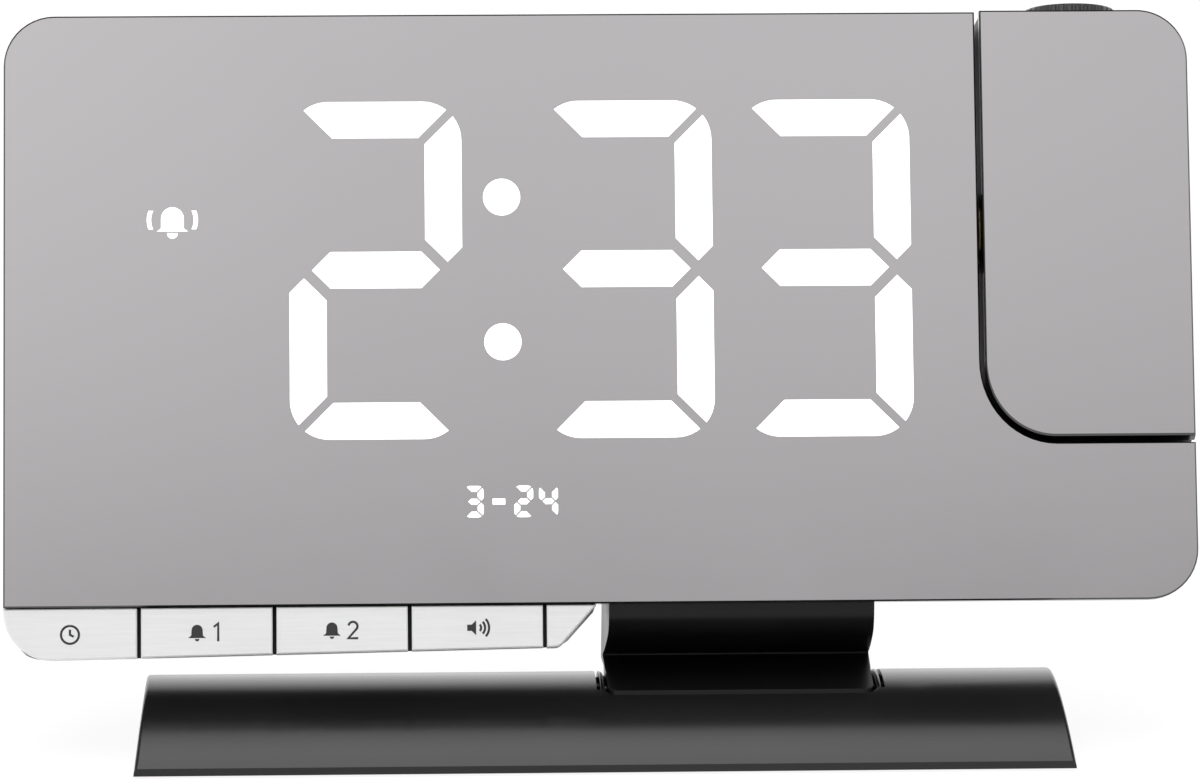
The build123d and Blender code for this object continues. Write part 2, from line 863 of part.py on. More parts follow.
def snooze_bar():
    """The long key: its top sinks a little towards the middle, where it has a raised dot."""
    key = top_key(top_keys_x, snooze_width, snooze_depth)
    top = case_top + top_key_rise
    dish_radius = (snooze_width / 2) ** 2 / (2 * snooze_dish)
    dish = rod_y(top_keys_x, top - snooze_dish + dish_radius, dish_radius, 0, case_depth)
    dot = Pos(top_keys_x, top_key_y, top - snooze_dish) * Cylinder(snooze_dot, snooze_dot)
    return key - dish + dot


def top_keys():
    for number, x in enumerate(top_key_places, 1):
        parts[f"top_key_{number}"] = stand(top_key(x, top_key_width, top_key_depth))
    parts["snooze_bar"] = stand(snooze_bar())
    low = top_board_z - top_board_thickness
    half = top_board_width / 2
    reach = key_far + top_key_width / 2
    along = (top_keys_x - reach, top_keys_x + reach)
    board = block(along, (top_key_y - half, top_key_y + half), (low, top_board_z))
    for x in top_boss_places:
        board -= rod_z(x, top_key_y, m2_radius + key_clearance, low, top_board_z)
    parts["top_key_board"] = stand(board)
    size = switch_size / 2
    body_top = top_board_z + switch_height
    switches = []
    for x in top_key_places + [top_keys_x]:
        body = block((x - size, x + size), (top_key_y - size, top_key_y + size), (top_board_z, body_top))
        switches.append(body + rod_z(x, top_key_y, plunger_radius, body_top, switch_top))
    parts["top_key_switches"] = stand(group(switches))


def key_holes():
    """Openings for the top keys."""
    sizes = [(x, top_key_width, top_key_depth) for x in top_key_places]
    sizes.append((top_keys_x, snooze_width, snooze_depth))
    low = case_inner_top - 1
    for x, width, depth in sizes:
        face = RectangleRounded(width + 2 * key_clearance, depth + 2 * key_clearance, key_corner)
        yield Pos(x, top_key_y, low) * extrude(face, amount=case_wall + 2)


# ---- cases ----
collar_face = head_left + head_inset - pivot_collar_gap


def front_case():
    shell = case_form(case_inset, case_front, case_split)
    shell -= case_form(case_inset + case_wall, case_front + front_wall, case_split)
    shell += slab(chin_face(chin_inset, chin_reach), chin_front, chin_back) - chin_wedge(chin_inset)
    face = chin_face(chin_inset + chin_wall, chin_reach + 2)
    hollow = slab(face, chin_front + chin_wall, chin_back - chin_wall)
    shell -= hollow - chin_wedge(chin_inset + chin_wall)
    window = rectangle(window_left, window_right, window_bottom, window_top)
    shell -= slab(window, case_front, case_front + front_wall)
    for hole in key_holes():
        shell -= hole
    bore = pivot_radius + pivot_clearance
    shell += rod_x(pivot_y, pivot_z, pivot_collar_radius, case_side_inner, collar_face)
    shell -= rod_x(pivot_y, pivot_z, bore, case_side_inner, collar_face)
    for x in strip_key_xs:
        shell -= rod_y(x, strip_stem_z, key_stem + key_clearance * 0.75, chin_front, chin_front + chin_wall)
    pilot = case_screw_radius + thread_clearance
    inside = case_front + front_wall
    for x, z in case_screw_places:
        shell += rod_y(x, z, case_boss_radius, inside, case_split) - under_wedge(case_inset)
        shell -= rod_y(x, z, pilot, screw_seat - case_screw_length - 1, case_split)
    for x in neck_screw_xs:
        top = neck_screw_z + case_screw_length + 1
        boss = rod_z(x, neck_screw_y, case_boss_radius, underside(neck_screw_y), top)
        shell += boss - under_wedge(case_inset)
        shell -= rod_z(x, neck_screw_y, pilot, underside(neck_screw_y) - 1, top - 0.5)
    pilot = m2_radius + thread_clearance
    for x in top_boss_places:
        shell += rod_z(x, top_key_y, top_boss_radius, top_board_z, case_inner_top)
        shell -= rod_z(x, top_key_y, pilot, top_board_z, case_inner_top)
    board_back = strip_board_front + strip_board_thickness
    for x in strip_boss_places:
        shell += rod_y(x, strip_boss_z, strip_boss_radius, board_back, chin_back - chin_wall)
        shell -= rod_y(x, strip_boss_z, pilot, board_back, board_back + m2_length)
    return shell


def grille():
    """Sound holes in rings over the speaker."""
    yield rod_y(speaker_x, speaker_z, grille_hole, case_inner_back, case_depth)
    for ring in range(1, grille_rings):
        for turn in range(6 * ring):
            place = Pos(speaker_x, 0, speaker_z) * Rot(0, 360 * turn / (6 * ring), 0)
            yield place * rod_y(ring * grille_pitch, 0, grille_hole, case_inner_back, case_depth)


def door_face(clearance):
    half = pocket_size / 2 + door_margin - clearance
    top = coin_z + pocket_size / 2 + door_tab - clearance
    face = rectangle(coin_x - half, coin_x + half, coin_z - half, top)
    return fillet(face.vertices(), door_corner)


def rear_case():
    shell = case_form(case_inset, case_split, case_depth, rounded=back_fillet)
    shell -= case_form(case_inset + case_wall, case_split, case_inner_back)
    for x, z in case_screw_places:
        shell += rod_y(x, z, case_boss_radius, case_split, case_inner_back) - under_wedge(case_inset)
        shell -= rod_y(x, z, case_screw_radius + key_clearance, case_split, screw_seat)
        shell -= rod_y(x, z, case_screw_head + key_clearance, screw_seat, case_depth)
    half = pocket_size / 2
    wide = half + pocket_wall
    floor = case_depth - pocket_depth
    box = rectangle(coin_x - wide, coin_x + wide, coin_z - wide, coin_z + wide)
    shell += slab(box, floor - pocket_wall, case_inner_back)
    shell += slab(door_face(-door_pad), door_front - door_pad, case_inner_back)
    pocket = rectangle(coin_x - half, coin_x + half, coin_z - half, coin_z + half)
    shell -= slab(pocket, floor, case_depth)
    shell -= slab(door_face(0), door_front, case_depth)
    shell += rod_y(coin_x, door_screw_z, boss_radius, door_front - m2_length, door_front)
    shell -= rod_y(coin_x, door_screw_z, m2_radius + thread_clearance, door_front - m2_length, door_front)
    for hole in grille():
        shell -= hole
    gap = socket_clearance
    jack = Rectangle(jack_size + 2 * gap, jack_size + 2 * gap)
    shell -= slab(Pos(jack_x, socket_z) * jack, case_split, case_depth)
    usb = Rectangle(usb_width + 2 * gap, usb_height + 2 * gap)
    shell -= slab(Pos(usb_x, socket_z) * usb, case_split, case_depth)
    shell -= rod_y(antenna_x, antenna_z, antenna_radius, case_inner_back, case_depth)
    deep = main_board_front + m2_length + 0.5
    for x, z in main_boss_places:
        shell += rod_y(x, z, boss_radius, main_board_back, case_inner_back)
        shell -= rod_y(x, z, m2_radius + thread_clearance, main_board_back, deep)
    return shell


def cases():
    parts["front_case"] = stand(front_case())
    parts["rear_case"] = stand(rear_case())


# ---- electronics ----
def main_board():
    face = rectangle(main_board_left, main_board_right, main_board_bottom, main_board_top)
    gap = socket_clearance
    face -= Pos(usb_x, socket_z) * Rectangle(usb_width + 2 * gap, usb_height + 2 * gap)
    board = slab(face, main_board_front, main_board_back)
    for x, z in main_boss_places:
        board -= rod_y(x, z, m2_radius + key_clearance, main_board_front, main_board_back)
    parts["main_board"] = stand(board)
    held = []
    for side, drop, wide, tall in chips:
        face = Pos(main_board_right - side, main_board_top - drop) * Rectangle(wide, tall)
        body = slab(face, main_board_back, main_board_back + chip_height)
        held.append(chamfer(body.faces().sort_by(Axis.Y)[-1].edges(), chip_edge))
    parts["main_chips"] = stand(group(held))
    face = Pos(main_board_right - crystal_side, main_board_top - crystal_drop)
    face *= RectangleRounded(crystal_length, crystal_width, crystal_width / 2 - 0.1)
    held = [slab(face, main_board_back, main_board_back + crystal_height)]
    for side, rise, radius, tall in cans:
        x, z = main_board_right - side, main_board_bottom + rise
        can = rod_y(x, z, radius, main_board_back, main_board_back + tall)
        held.append(fillet(can.faces().sort_by(Axis.Y)[-1].edges(), can_edge))
    parts["capacitors_and_crystal"] = stand(group(held))


def speaker():
    """Frame, magnet and cone, turned about the speaker's axis and sounding to the back."""
    back = case_inner_back
    rear = back - speaker_depth
    rim = speaker_radius - 2
    axis = Axis((speaker_x, 0, speaker_z), (0, 1, 0))

    def turned(*points):
        return revolve(Pos(speaker_x, 0, speaker_z) * polygon(*points), axis)

    ledge = back - 0.7
    frame = turned(
        (0, rear), (magnet_radius + 1, rear), (rim + 0.3, back - speaker_flange - 0.8),
        (speaker_radius, back - speaker_flange), (speaker_radius, back), (rim, back), (rim, ledge),
        (rim - 1.2, ledge), (magnet_radius + 0.2, rear + 1), (0, rear + 1),
    )
    parts["speaker_frame"] = stand(frame)
    parts["speaker_magnet"] = stand(rod_y(speaker_x, speaker_z, magnet_radius, rear - magnet_depth, rear))
    cone = turned(
        (0, back - 2.6), (4.0, back - 3.6), (rim - 1.4, ledge), (rim - 0.1, ledge), (rim - 0.1, ledge + 0.4),
        (rim - 1.4, ledge + 0.4), (3.8, back - 3.1), (0, back - 2.1),
    )
    voice_coil = rod_y(speaker_x, speaker_z, 3.0, rear + 1, back - 2.4)
    parts["speaker_cone"] = stand(cone + voice_coil)


def battery():
    floor = case_depth - pocket_depth
    half = pocket_size / 2 - holder_clearance
    face = rectangle(coin_x - half, coin_x + half, coin_z - half, coin_z + half)
    holder = slab(face, floor, floor + holder_height)
    seat = floor + coin_floor
    holder -= rod_y(coin_x, coin_z, coin_radius + coin_clearance, seat, floor + holder_height)
    holder -= rod_y(coin_x, coin_z - half, finger_notch, seat, floor + holder_height)
    parts["coin_cell_holder"] = stand(holder)
    cell = rod_y(coin_x, coin_z, coin_radius, seat, seat + coin_thickness)
    parts["coin_cell"] = stand(fillet(cell.edges().filter_by(GeomType.CIRCLE), 0.3))
    door = slab(door_face(door_clearance), door_front, case_depth)
    door -= rod_y(coin_x, door_screw_z, m2_radius + key_clearance, door_front, case_depth)
    head_room = m2_head_radius + key_clearance
    door -= rod_y(coin_x, door_screw_z, head_room, case_depth - m2_head_height, case_depth)
    half = door_grip_length / 2
    for row in range(1, door_grips + 1):
        z = coin_z - row * door_grip_pitch
        grip = rectangle(coin_x - half, coin_x + half, z - door_grip_width, z)
        door -= slab(grip, case_depth - door_grip_depth, case_depth)
    parts["battery_door"] = stand(door)


def sockets():
    back = case_depth - socket_set_back
    jack = slab(Pos(jack_x, socket_z) * Rectangle(jack_size, jack_size), main_board_back, back)
    jack -= rod_y(jack_x, socket_z, jack_bore, back - jack_bore_depth, back)
    jack += rod_y(jack_x, socket_z, jack_pin, back - jack_bore_depth, back - 1)
    parts["power_jack"] = stand(jack)
    usb = slab(Pos(usb_x, socket_z) * Rectangle(usb_width, usb_height), back - usb_depth, back)
    mouth = Rectangle(usb_width - 2 * usb_shell, usb_height - 2 * usb_shell)
    floor = back - usb_depth + usb_back_wall
    usb -= slab(Pos(usb_x, socket_z) * mouth, floor, back)
    tongue = Pos(usb_x, socket_z + usb_tongue_rise) * Rectangle(usb_tongue_width, usb_tongue)
    usb += slab(tongue, floor, floor + usb_tongue_length)
    parts["usb_socket"] = stand(usb)


# ---- projector head ----
head_inner_left = head_left + head_inset + head_wall
head_case_top = head_top - head_inset
barrel_top = head_case_top + barrel_stand
lcd_height = barrel_top - barrel_length - lcd_gap - lcd_thickness
head_board_top = lcd_height - head_board_gap
head_board_low = head_board_top - board_thickness
rib_left = lens_x - lcd_size / 2
rib_right = lens_x + lcd_size / 2


def head_shells():
    parts["head_mirror"] = stand(bevel_front(head_form(0, 0, mirror_thickness)))
    hollow = head_inset + head_wall
    inside = case_front + front_wall
    shell = head_form(head_inset, case_front, case_split) - head_form(hollow, inside, case_split)
    shell += rod_z(lens_x, pivot_y, barrel_outer, barrel_top - barrel_length, barrel_top)
    shell -= rod_z(lens_x, pivot_y, barrel_inner, barrel_top - barrel_length, barrel_top)
    shell -= rod_x(pivot_y, pivot_z, pivot_radius, head_left, head_inner_left)
    for left in (rib_left, rib_right - optics_rib):
        shell += block((left, left + optics_rib), (inside, case_split), (head_board_top, lcd_height))
    parts["head_shell"] = stand(shell)
    back = head_form(head_inset, case_split, case_depth, rounded=back_fillet)
    back -= head_form(hollow, case_split, case_inner_back)
    half = vent_length / 2
    for row in range(vent_rows):
        z = pivot_z + vent_pitch * (row - (vent_rows - 1) / 2)
        vent = rectangle(lens_x - half, lens_x + half, z, z + vent_height)
        back -= slab(vent, case_inner_back, case_depth)
    parts["head_back"] = stand(back)


def pivot():
    spindle_right = head_inner_left + pivot_flange_thickness
    spindle = rod_x(pivot_y, pivot_z, pivot_radius, spindle_left, head_inner_left)
    spindle += rod_x(pivot_y, pivot_z, pivot_flange_radius, head_inner_left, spindle_right)
    spindle -= rod_x(pivot_y, pivot_z, pivot_bore, spindle_left, spindle_right)
    parts["pivot_spindle"] = stand(spindle)
    washer = rod_x(pivot_y, pivot_z, pivot_washer_radius, washer_left, case_side_inner)
    washer -= rod_x(pivot_y, pivot_z, pivot_radius + pivot_clearance, washer_left, case_side_inner)
    parts["pivot_washer"] = stand(washer)
    hexagon = Pos(pivot_y, pivot_z) * RegularPolygon(pivot_nut_width / 2, 6, major_radius=False)
    nut = bar(hexagon, nut_left, washer_left)
    parts["pivot_nut"] = stand(nut - rod_x(pivot_y, pivot_z, pivot_radius, nut_left, washer_left))


def optics():
    low = head_case_top + focus_ring_gap
    top = low + focus_ring_height
    ring = rod_z(lens_x, pivot_y, focus_ring_radius, low, top)
    ring = chamfer(ring.edges().filter_by(GeomType.CIRCLE).sort_by(Axis.Z)[-1], 0.3)
    bore_top = barrel_top + focus_ring_gap
    ring -= rod_z(lens_x, pivot_y, barrel_outer + pivot_clearance, low, bore_top)
    ring -= rod_z(lens_x, pivot_y, barrel_inner + focus_ring_gap, low, top)
    for turn in range(focus_ribs):
        place = Pos(lens_x, pivot_y, 0) * Rot(0, 0, 360 * turn / focus_ribs)
        ring -= place * rod_z(focus_ring_radius + 0.1, 0, focus_rib_depth, low, top)
    parts["focus_ring"] = stand(ring)

    cell_top = barrel_top - cell_depth
    cell_bottom = cell_top - cell_length
    outer = barrel_inner - cell_clearance
    inner = outer - cell_wall
    rim_top = cell_top - lens_seat
    rim_bottom = rim_top - lens_rim
    cell = rod_z(lens_x, pivot_y, outer, cell_bottom, cell_top)
    cell -= rod_z(lens_x, pivot_y, inner, rim_bottom, cell_top)
    cell -= rod_z(lens_x, pivot_y, inner - 0.6, cell_bottom, rim_bottom)
    parts["lens_cell"] = stand(cell)
    crown_radius = (inner**2 + lens_crown**2) / (2 * lens_crown)
    lens = rod_z(lens_x, pivot_y, inner, rim_bottom, rim_top + lens_crown)
    lens &= Pos(lens_x, pivot_y, rim_top + lens_crown - crown_radius) * Sphere(crown_radius)
    parts["projection_lens"] = stand(lens)

    half = lcd_depth / 2
    rise = (lcd_height, lcd_height + lcd_thickness)
    parts["lcd_chip"] = stand(block((rib_left, rib_right), (pivot_y - half, pivot_y + half), rise))
    wide, deep = head_board_width / 2, head_board_depth / 2
    rise = (head_board_low, head_board_top)
    board = block((lens_x - wide, lens_x + wide), (pivot_y - deep, pivot_y + deep), rise)
    parts["head_board"] = stand(board)
    size = led_body / 2
    led_top = head_board_top + led_body_height
    led = block((lens_x - size, lens_x + size), (pivot_y - size, pivot_y + size), (head_board_top, led_top))
    dome = Pos(lens_x, pivot_y, led_top) * Sphere(led_dome)
    dome -= Pos(lens_x, pivot_y, led_top - led_body_height / 2 - led_body) * Box(
        2 * led_body, 2 * led_body, 2 * led_body
    )
    parts["projection_led"] = stand(led + dome)


# ---- neck ----
neck_left = neck_x - neck_width / 2
neck_right = neck_x + neck_width / 2


def arc_point(radius, angle):
    """A point about the tilt hinge, as y and z; angle 0 points to the back."""
    return hinge_y + radius * cos(radians(angle)), hinge_z + radius * sin(radians(angle))


def throat(y):
    """Height of the straight line from the knee to the crease."""
    knee_y = stood(neck_front_depth, underside(neck_front_depth))[0]
    return knee_z + (y - knee_y) / (crease_y - knee_y) * (crease_top - knee_z)


def neck_face():
    """Side view of the neck, from the case's underside down to the hinge barrel in the base."""
    top_front = stood(neck_front_depth, underside(neck_front_depth))
    top_back = stood(neck_back_depth, underside(neck_back_depth))
    knee = (top_front[0], knee_z)
    crease = (crease_y, crease_top)
    middle = (knee[0] + crease_y) / 2
    bow = (middle, throat(middle) - throat_bow)
    toe = arc_point(foot_radius, foot_start_angle)
    sole = arc_point(foot_radius, 180)
    barrel_low = (hinge_y, hinge_z - barrel_radius)
    outline = [
        Line(top_back, top_front), Line(top_front, knee), ThreePointArc(knee, bow, crease),
        Line(crease, (crease_y, crease_bottom)), Line((crease_y, crease_bottom), toe),
        ThreePointArc(toe, arc_point(foot_radius, (foot_start_angle + 180) / 2), sole),
        Line(sole, barrel_low),
        ThreePointArc(barrel_low, arc_point(barrel_radius, 315), (hinge_y + barrel_radius, hinge_z)),
        Line((hinge_y + barrel_radius, hinge_z), (heel_y, heel_z)),
        Line((heel_y, heel_z), (neck_back_y, neck_back_z)), Line((neck_back_y, neck_back_z), top_back),
    ]
    face = make_face(outline)
    return fillet(face.vertices().sort_by_distance(Vector(*knee))[0], knee_radius)


def back_line(z, inward):
    """The y of a line parallel to the neck's back face."""
    top_y, top_z = stood(neck_back_depth, underside(neck_back_depth))
    share = (z - neck_back_z) / (top_z - neck_back_z)
    return neck_back_y + share * (top_y - neck_back_y) - inward


def cover_face(clearance):
    low, high = cover_bottom + clearance, cover_top - clearance
    depth = cover_thickness
    return polygon(
        (back_line(low, depth), low), (back_line(low, 0), low), (back_line(high, 0), high),
        (back_line(high, depth), high),
    )


def neck():
    body = bar(neck_face(), neck_left, neck_right)
    room = (-base_depth, base_depth)
    for side, edge in ((-1, neck_left), (1, neck_right)):
        slant = Location((edge, neck_back_y, 0), (0, 0, -side * neck_taper))
        body -= slant * block(tuple(sorted((0, side * neck_width))), room, (foot_top, panel_height))
    side = (neck_width - foot_width) / 2
    for left in (neck_left, neck_right - side):
        body -= block((left, left + side), room, (0, foot_top))
    toes = [edge for edge in body.edges().filter_by(GeomType.CIRCLE) if abs(edge.radius - foot_radius) < 0.01]
    body = fillet([edge for edge in toes if edge.bounding_box().size.X < 0.01], foot_corner)
    ceiling_front = stood(neck_front_depth + neck_wall, underside(neck_front_depth + neck_wall) - neck_wall)
    ceiling_back = stood(neck_back_depth - neck_wall, underside(neck_back_depth - neck_wall) - neck_wall)
    fall = (knee_z - crease_top) / (crease_y - stood(neck_front_depth, underside(neck_front_depth))[0])
    cavity = polygon(
        ceiling_front, (ceiling_front[0], throat(ceiling_front[0]) + neck_skin),
        (crease_y + (crease_top + neck_skin - cavity_floor) / fall, cavity_floor),
        (back_line(cavity_floor, cover_thickness), cavity_floor),
        (back_line(ceiling_back[1], cover_thickness), ceiling_back[1]),
    )
    body -= bar(cavity, neck_x - neck_cavity_half, neck_x + neck_cavity_half)
    body -= bar(cover_face(0), neck_x - cover_half, neck_x + cover_half)
    half = foot_width / 2
    body -= rod_x(hinge_y, hinge_z, hinge_pin_radius + hinge_pin_clearance, neck_x - half, neck_x + half)
    for x in neck_screw_xs:
        hole = rod_z(x, neck_screw_y, case_screw_radius + key_clearance, neck_screw_z - 1, neck_screw_z + 4)
        hole += rod_z(x, neck_screw_y, case_screw_head + key_clearance, neck_screw_z - 3, neck_screw_z)
        body -= stand(hole)
    parts["neck"] = body
    half = cover_half - cover_clearance
    parts["neck_cover"] = bar(cover_face(cover_clearance), neck_x - half, neck_x + half)


def hinge():
    reach = ear_reach - 0.2
    parts["hinge_pin"] = rod_x(hinge_y, hinge_z, hinge_pin_radius, neck_x - reach, neck_x + reach)
    washers = []
    for left in (neck_x - notch_half, neck_x + foot_width / 2):
        washer = rod_x(hinge_y, hinge_z, washer_radius, left, left + ear_gap)
        bore = rod_x(hinge_y, hinge_z, hinge_pin_radius + hinge_pin_clearance, left, left + ear_gap)
        washers.append(washer - bore)
    parts["hinge_washers"] = group(washers)


# ---- base ----
def base_face(inset, low):
    """Section of the base, a low arch, inset from the outer surface."""
    radius = base_radius - inset
    half = base_depth / 2 - inset
    shoulder = base_arc_z + sqrt(radius**2 - half**2)
    crest = (0, base_arc_z + radius)
    outline = [
        Line((-half, low), (-half, shoulder)), ThreePointArc((-half, shoulder), crest, (half, shoulder)),
        Line((half, shoulder), (half, low)), Line((half, low), (-half, low)),
    ]
    return make_face(outline)


def base_form(inset, low):
    """The arch with its leaning ends, inset from the outer surface."""
    half = base_width / 2 - inset
    form = bar(base_face(inset, low), -half, half)
    room = (-base_depth, base_depth)
    for side in (-1, 1):
        lean = Location((side * half, 0, base_stand), (0, -side * base_draft, 0))
        form -= lean * block(tuple(sorted((0, side * base_depth))), room, room)
    return form


def base_shell():
    half = base_width / 2
    solid = base_form(0, base_stand)
    shell = fillet(solid.edges().filter_by(GeomType.ELLIPSE), base_edge)
    shell -= base_form(base_wall, base_stand - 1)
    ear_room = (slit_front, notch_back)
    rise = (hinge_floor, base_crest)
    for side in (-1, 1):
        near = neck_x + side * notch_half
        far = near + side * (ear_thickness + ear_boss_length)
        wall = block(tuple(sorted((near, near + side * ear_thickness))), ear_room, rise)
        boss = rod_x(hinge_y, hinge_z, ear_boss_radius, min(near, far), max(near, far))
        boss &= block((min(near, far), max(near, far)), ear_room, rise)
        shell += (wall + boss) & solid
    pilot = base_screw_radius + thread_clearance
    pad_top = hinge_floor + pad_height
    for x in base_screw_places:
        shell += rod_z(x, 0, base_post, pad_top, base_crest - base_wall)
        shell -= rod_z(x, 0, pilot, pad_top, pad_top + base_screw_length)
    left, right = neck_x - notch_half, neck_x + notch_half
    sweep = rod_x(hinge_y, hinge_z, foot_radius + foot_gap, left, right)
    shell -= fillet(sweep.edges().filter_by(GeomType.CIRCLE), notch_corner)
    notch = block((left, right), (hinge_y, notch_back), (0, 2 * base_crest))
    shell -= fillet(notch.faces().sort_by(Axis.Y)[-1].edges().filter_by(Axis.Z), notch_corner)
    for side in (-1, 1):
        near = neck_x + side * (notch_half + ear_thickness)
        slit = tuple(sorted((near, near + side * slit_width)))
        shell -= block(slit, ear_room, (base_crest - slit_depth, 2 * base_crest))
    bore = hinge_pin_radius + thread_clearance
    shell -= rod_x(hinge_y, hinge_z, bore, neck_x - half, neck_x + half)
    lip = base_arc_z + sqrt(base_radius**2 - notch_front**2)
    return fillet(shell.edges().sort_by_distance(Vector(neck_x, notch_front, lip))[0], notch_edge)


def base():
    parts["base_shell"] = base_shell()
    half_x = base_width / 2 - base_wall - floor_clearance
    half_y = base_depth / 2 - base_wall - floor_margin
    floor = block((-half_x, half_x), (-half_y, half_y), (base_stand, hinge_floor))
    head_top = base_stand + 0.1 + base_screw_head_height
    held = []
    for x in base_screw_places:
        floor += rod_z(x, 0, base_post, hinge_floor, hinge_floor + pad_height)
        floor -= rod_z(x, 0, base_screw_head + key_clearance, base_stand, head_top)
        floor -= rod_z(x, 0, base_screw_radius + key_clearance, head_top, hinge_floor + pad_height)
        fastener = screw(base_screw_radius, base_screw_length, base_screw_head, base_screw_head_height)
        held.append(Pos(x, 0, head_top) * heads_down * fastener)
    parts["base_screws"] = group(held)
    feet = []
    for x in (-feet_x, feet_x):
        for y in (-feet_y, feet_y):
            pad = rod_z(x, y, foot_pad_radius, 0, foot_pad_height)
            feet.append(chamfer(pad.edges().filter_by(GeomType.CIRCLE).sort_by(Axis.Z)[0], 0.2))
            floor -= rod_z(x, y, foot_pad_radius, base_stand, foot_pad_height)
    parts["rubber_feet"] = group(feet)
    parts["base_floor"] = floor
    half = weight_depth / 2
    along = (base_screw_places[0] + weight_gap, base_screw_places[1] - weight_gap)
    weight = block(along, (-half, half), (hinge_floor, hinge_floor + weight_height))
    parts["base_weight"] = chamfer(weight.faces().sort_by(Axis.Z)[-1].edges(), 0.5)


def main():
    display()
    screws()
    key_strip()
    top_keys()
    cases()
    main_board()
    speaker()
    battery()
    sockets()
    head_shells()
    pivot()
    optics()
    neck()
    hinge()
    base()
    os.makedirs("parts", exist_ok=True)
    for name, shape in parts.items():
        export_step(Pos(0, -middle_y, 0) * shape, f"parts/{name}.step")


main()
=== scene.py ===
"""Looks of a mirror-faced projection alarm clock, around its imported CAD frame. Metres, Z up."""

import json
import math

import bmesh
import bpy
from mathutils import Matrix, Vector


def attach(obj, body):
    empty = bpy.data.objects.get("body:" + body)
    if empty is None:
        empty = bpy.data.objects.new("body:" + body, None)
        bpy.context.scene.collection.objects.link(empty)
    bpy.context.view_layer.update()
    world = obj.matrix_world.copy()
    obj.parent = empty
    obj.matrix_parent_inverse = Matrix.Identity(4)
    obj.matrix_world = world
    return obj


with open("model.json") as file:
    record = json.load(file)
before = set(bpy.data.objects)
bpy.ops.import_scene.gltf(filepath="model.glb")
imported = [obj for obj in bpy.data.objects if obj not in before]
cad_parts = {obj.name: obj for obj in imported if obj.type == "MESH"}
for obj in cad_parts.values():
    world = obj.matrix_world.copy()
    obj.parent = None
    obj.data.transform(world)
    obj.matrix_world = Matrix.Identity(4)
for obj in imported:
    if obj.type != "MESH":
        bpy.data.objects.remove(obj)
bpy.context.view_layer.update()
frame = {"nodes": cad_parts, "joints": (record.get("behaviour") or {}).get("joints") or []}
nodes = frame["nodes"]
MM = 0.001
TOP_KEYS = [f"top_key_{number}" for number in (1, 2, 3, 4)]
STRIP_KEYS = [f"strip_key_{number}" for number in (1, 2, 3, 4)]

# ---- the clock's own directions, from the joints ----
joints = {joint["name"]: joint for joint in frame["joints"]}
UP = Vector(joints["focus_turn"]["axis"]).normalized()
ACROSS = Vector((1, 0, 0))
BACK = UP.cross(ACROSS)
LEAN = math.asin(UP.y)
PIVOT = Vector(joints["projector_swivel"]["pos_m"])
PIVOT_DEPTH = 12.5 * MM  # the pivot behind the mirror's face
PIVOT_HEIGHT = 60.15 * MM  # and above the mirror's lower edge


def on_clock(x, depth, height):
    """A point given across, behind the mirror's face and up from its lower edge."""
    lift = UP * (height - PIVOT_HEIGHT) + BACK * (depth - PIVOT_DEPTH)
    return Vector((x, PIVOT.y, PIVOT.z)) + lift


# ---- camera ----
CAMERA_PLACE = Vector((-33.24, -956.5, 205.11)) * MM
CAMERA_YAW = math.radians(2.0)
CAMERA_DOWN = math.radians(8.856)
CAMERA_ROLL = math.radians(-0.083)
CAMERA_LENS = 182.53
CAMERA_REACH = 20.0
SENSOR = 36.0


def add_camera():
    ahead = Vector(
        (
            math.sin(CAMERA_YAW) * math.cos(CAMERA_DOWN),
            math.cos(CAMERA_YAW) * math.cos(CAMERA_DOWN),
            -math.sin(CAMERA_DOWN),
        )
    )
    level = Vector((math.cos(CAMERA_YAW), -math.sin(CAMERA_YAW), 0))
    above = level.cross(ahead)
    right = math.cos(CAMERA_ROLL) * level + math.sin(CAMERA_ROLL) * above
    top = right.cross(ahead)
    camera = bpy.data.objects.new("camera", bpy.data.cameras.new("camera"))
    camera.data.lens = CAMERA_LENS
    camera.data.sensor_width = SENSOR
    camera.data.clip_end = CAMERA_REACH
    turn = Matrix((right, top, -ahead)).transposed().to_4x4()
    camera.matrix_world = Matrix.Translation(CAMERA_PLACE) @ turn
    bpy.context.scene.collection.objects.link(camera)
    bpy.context.scene.camera = camera


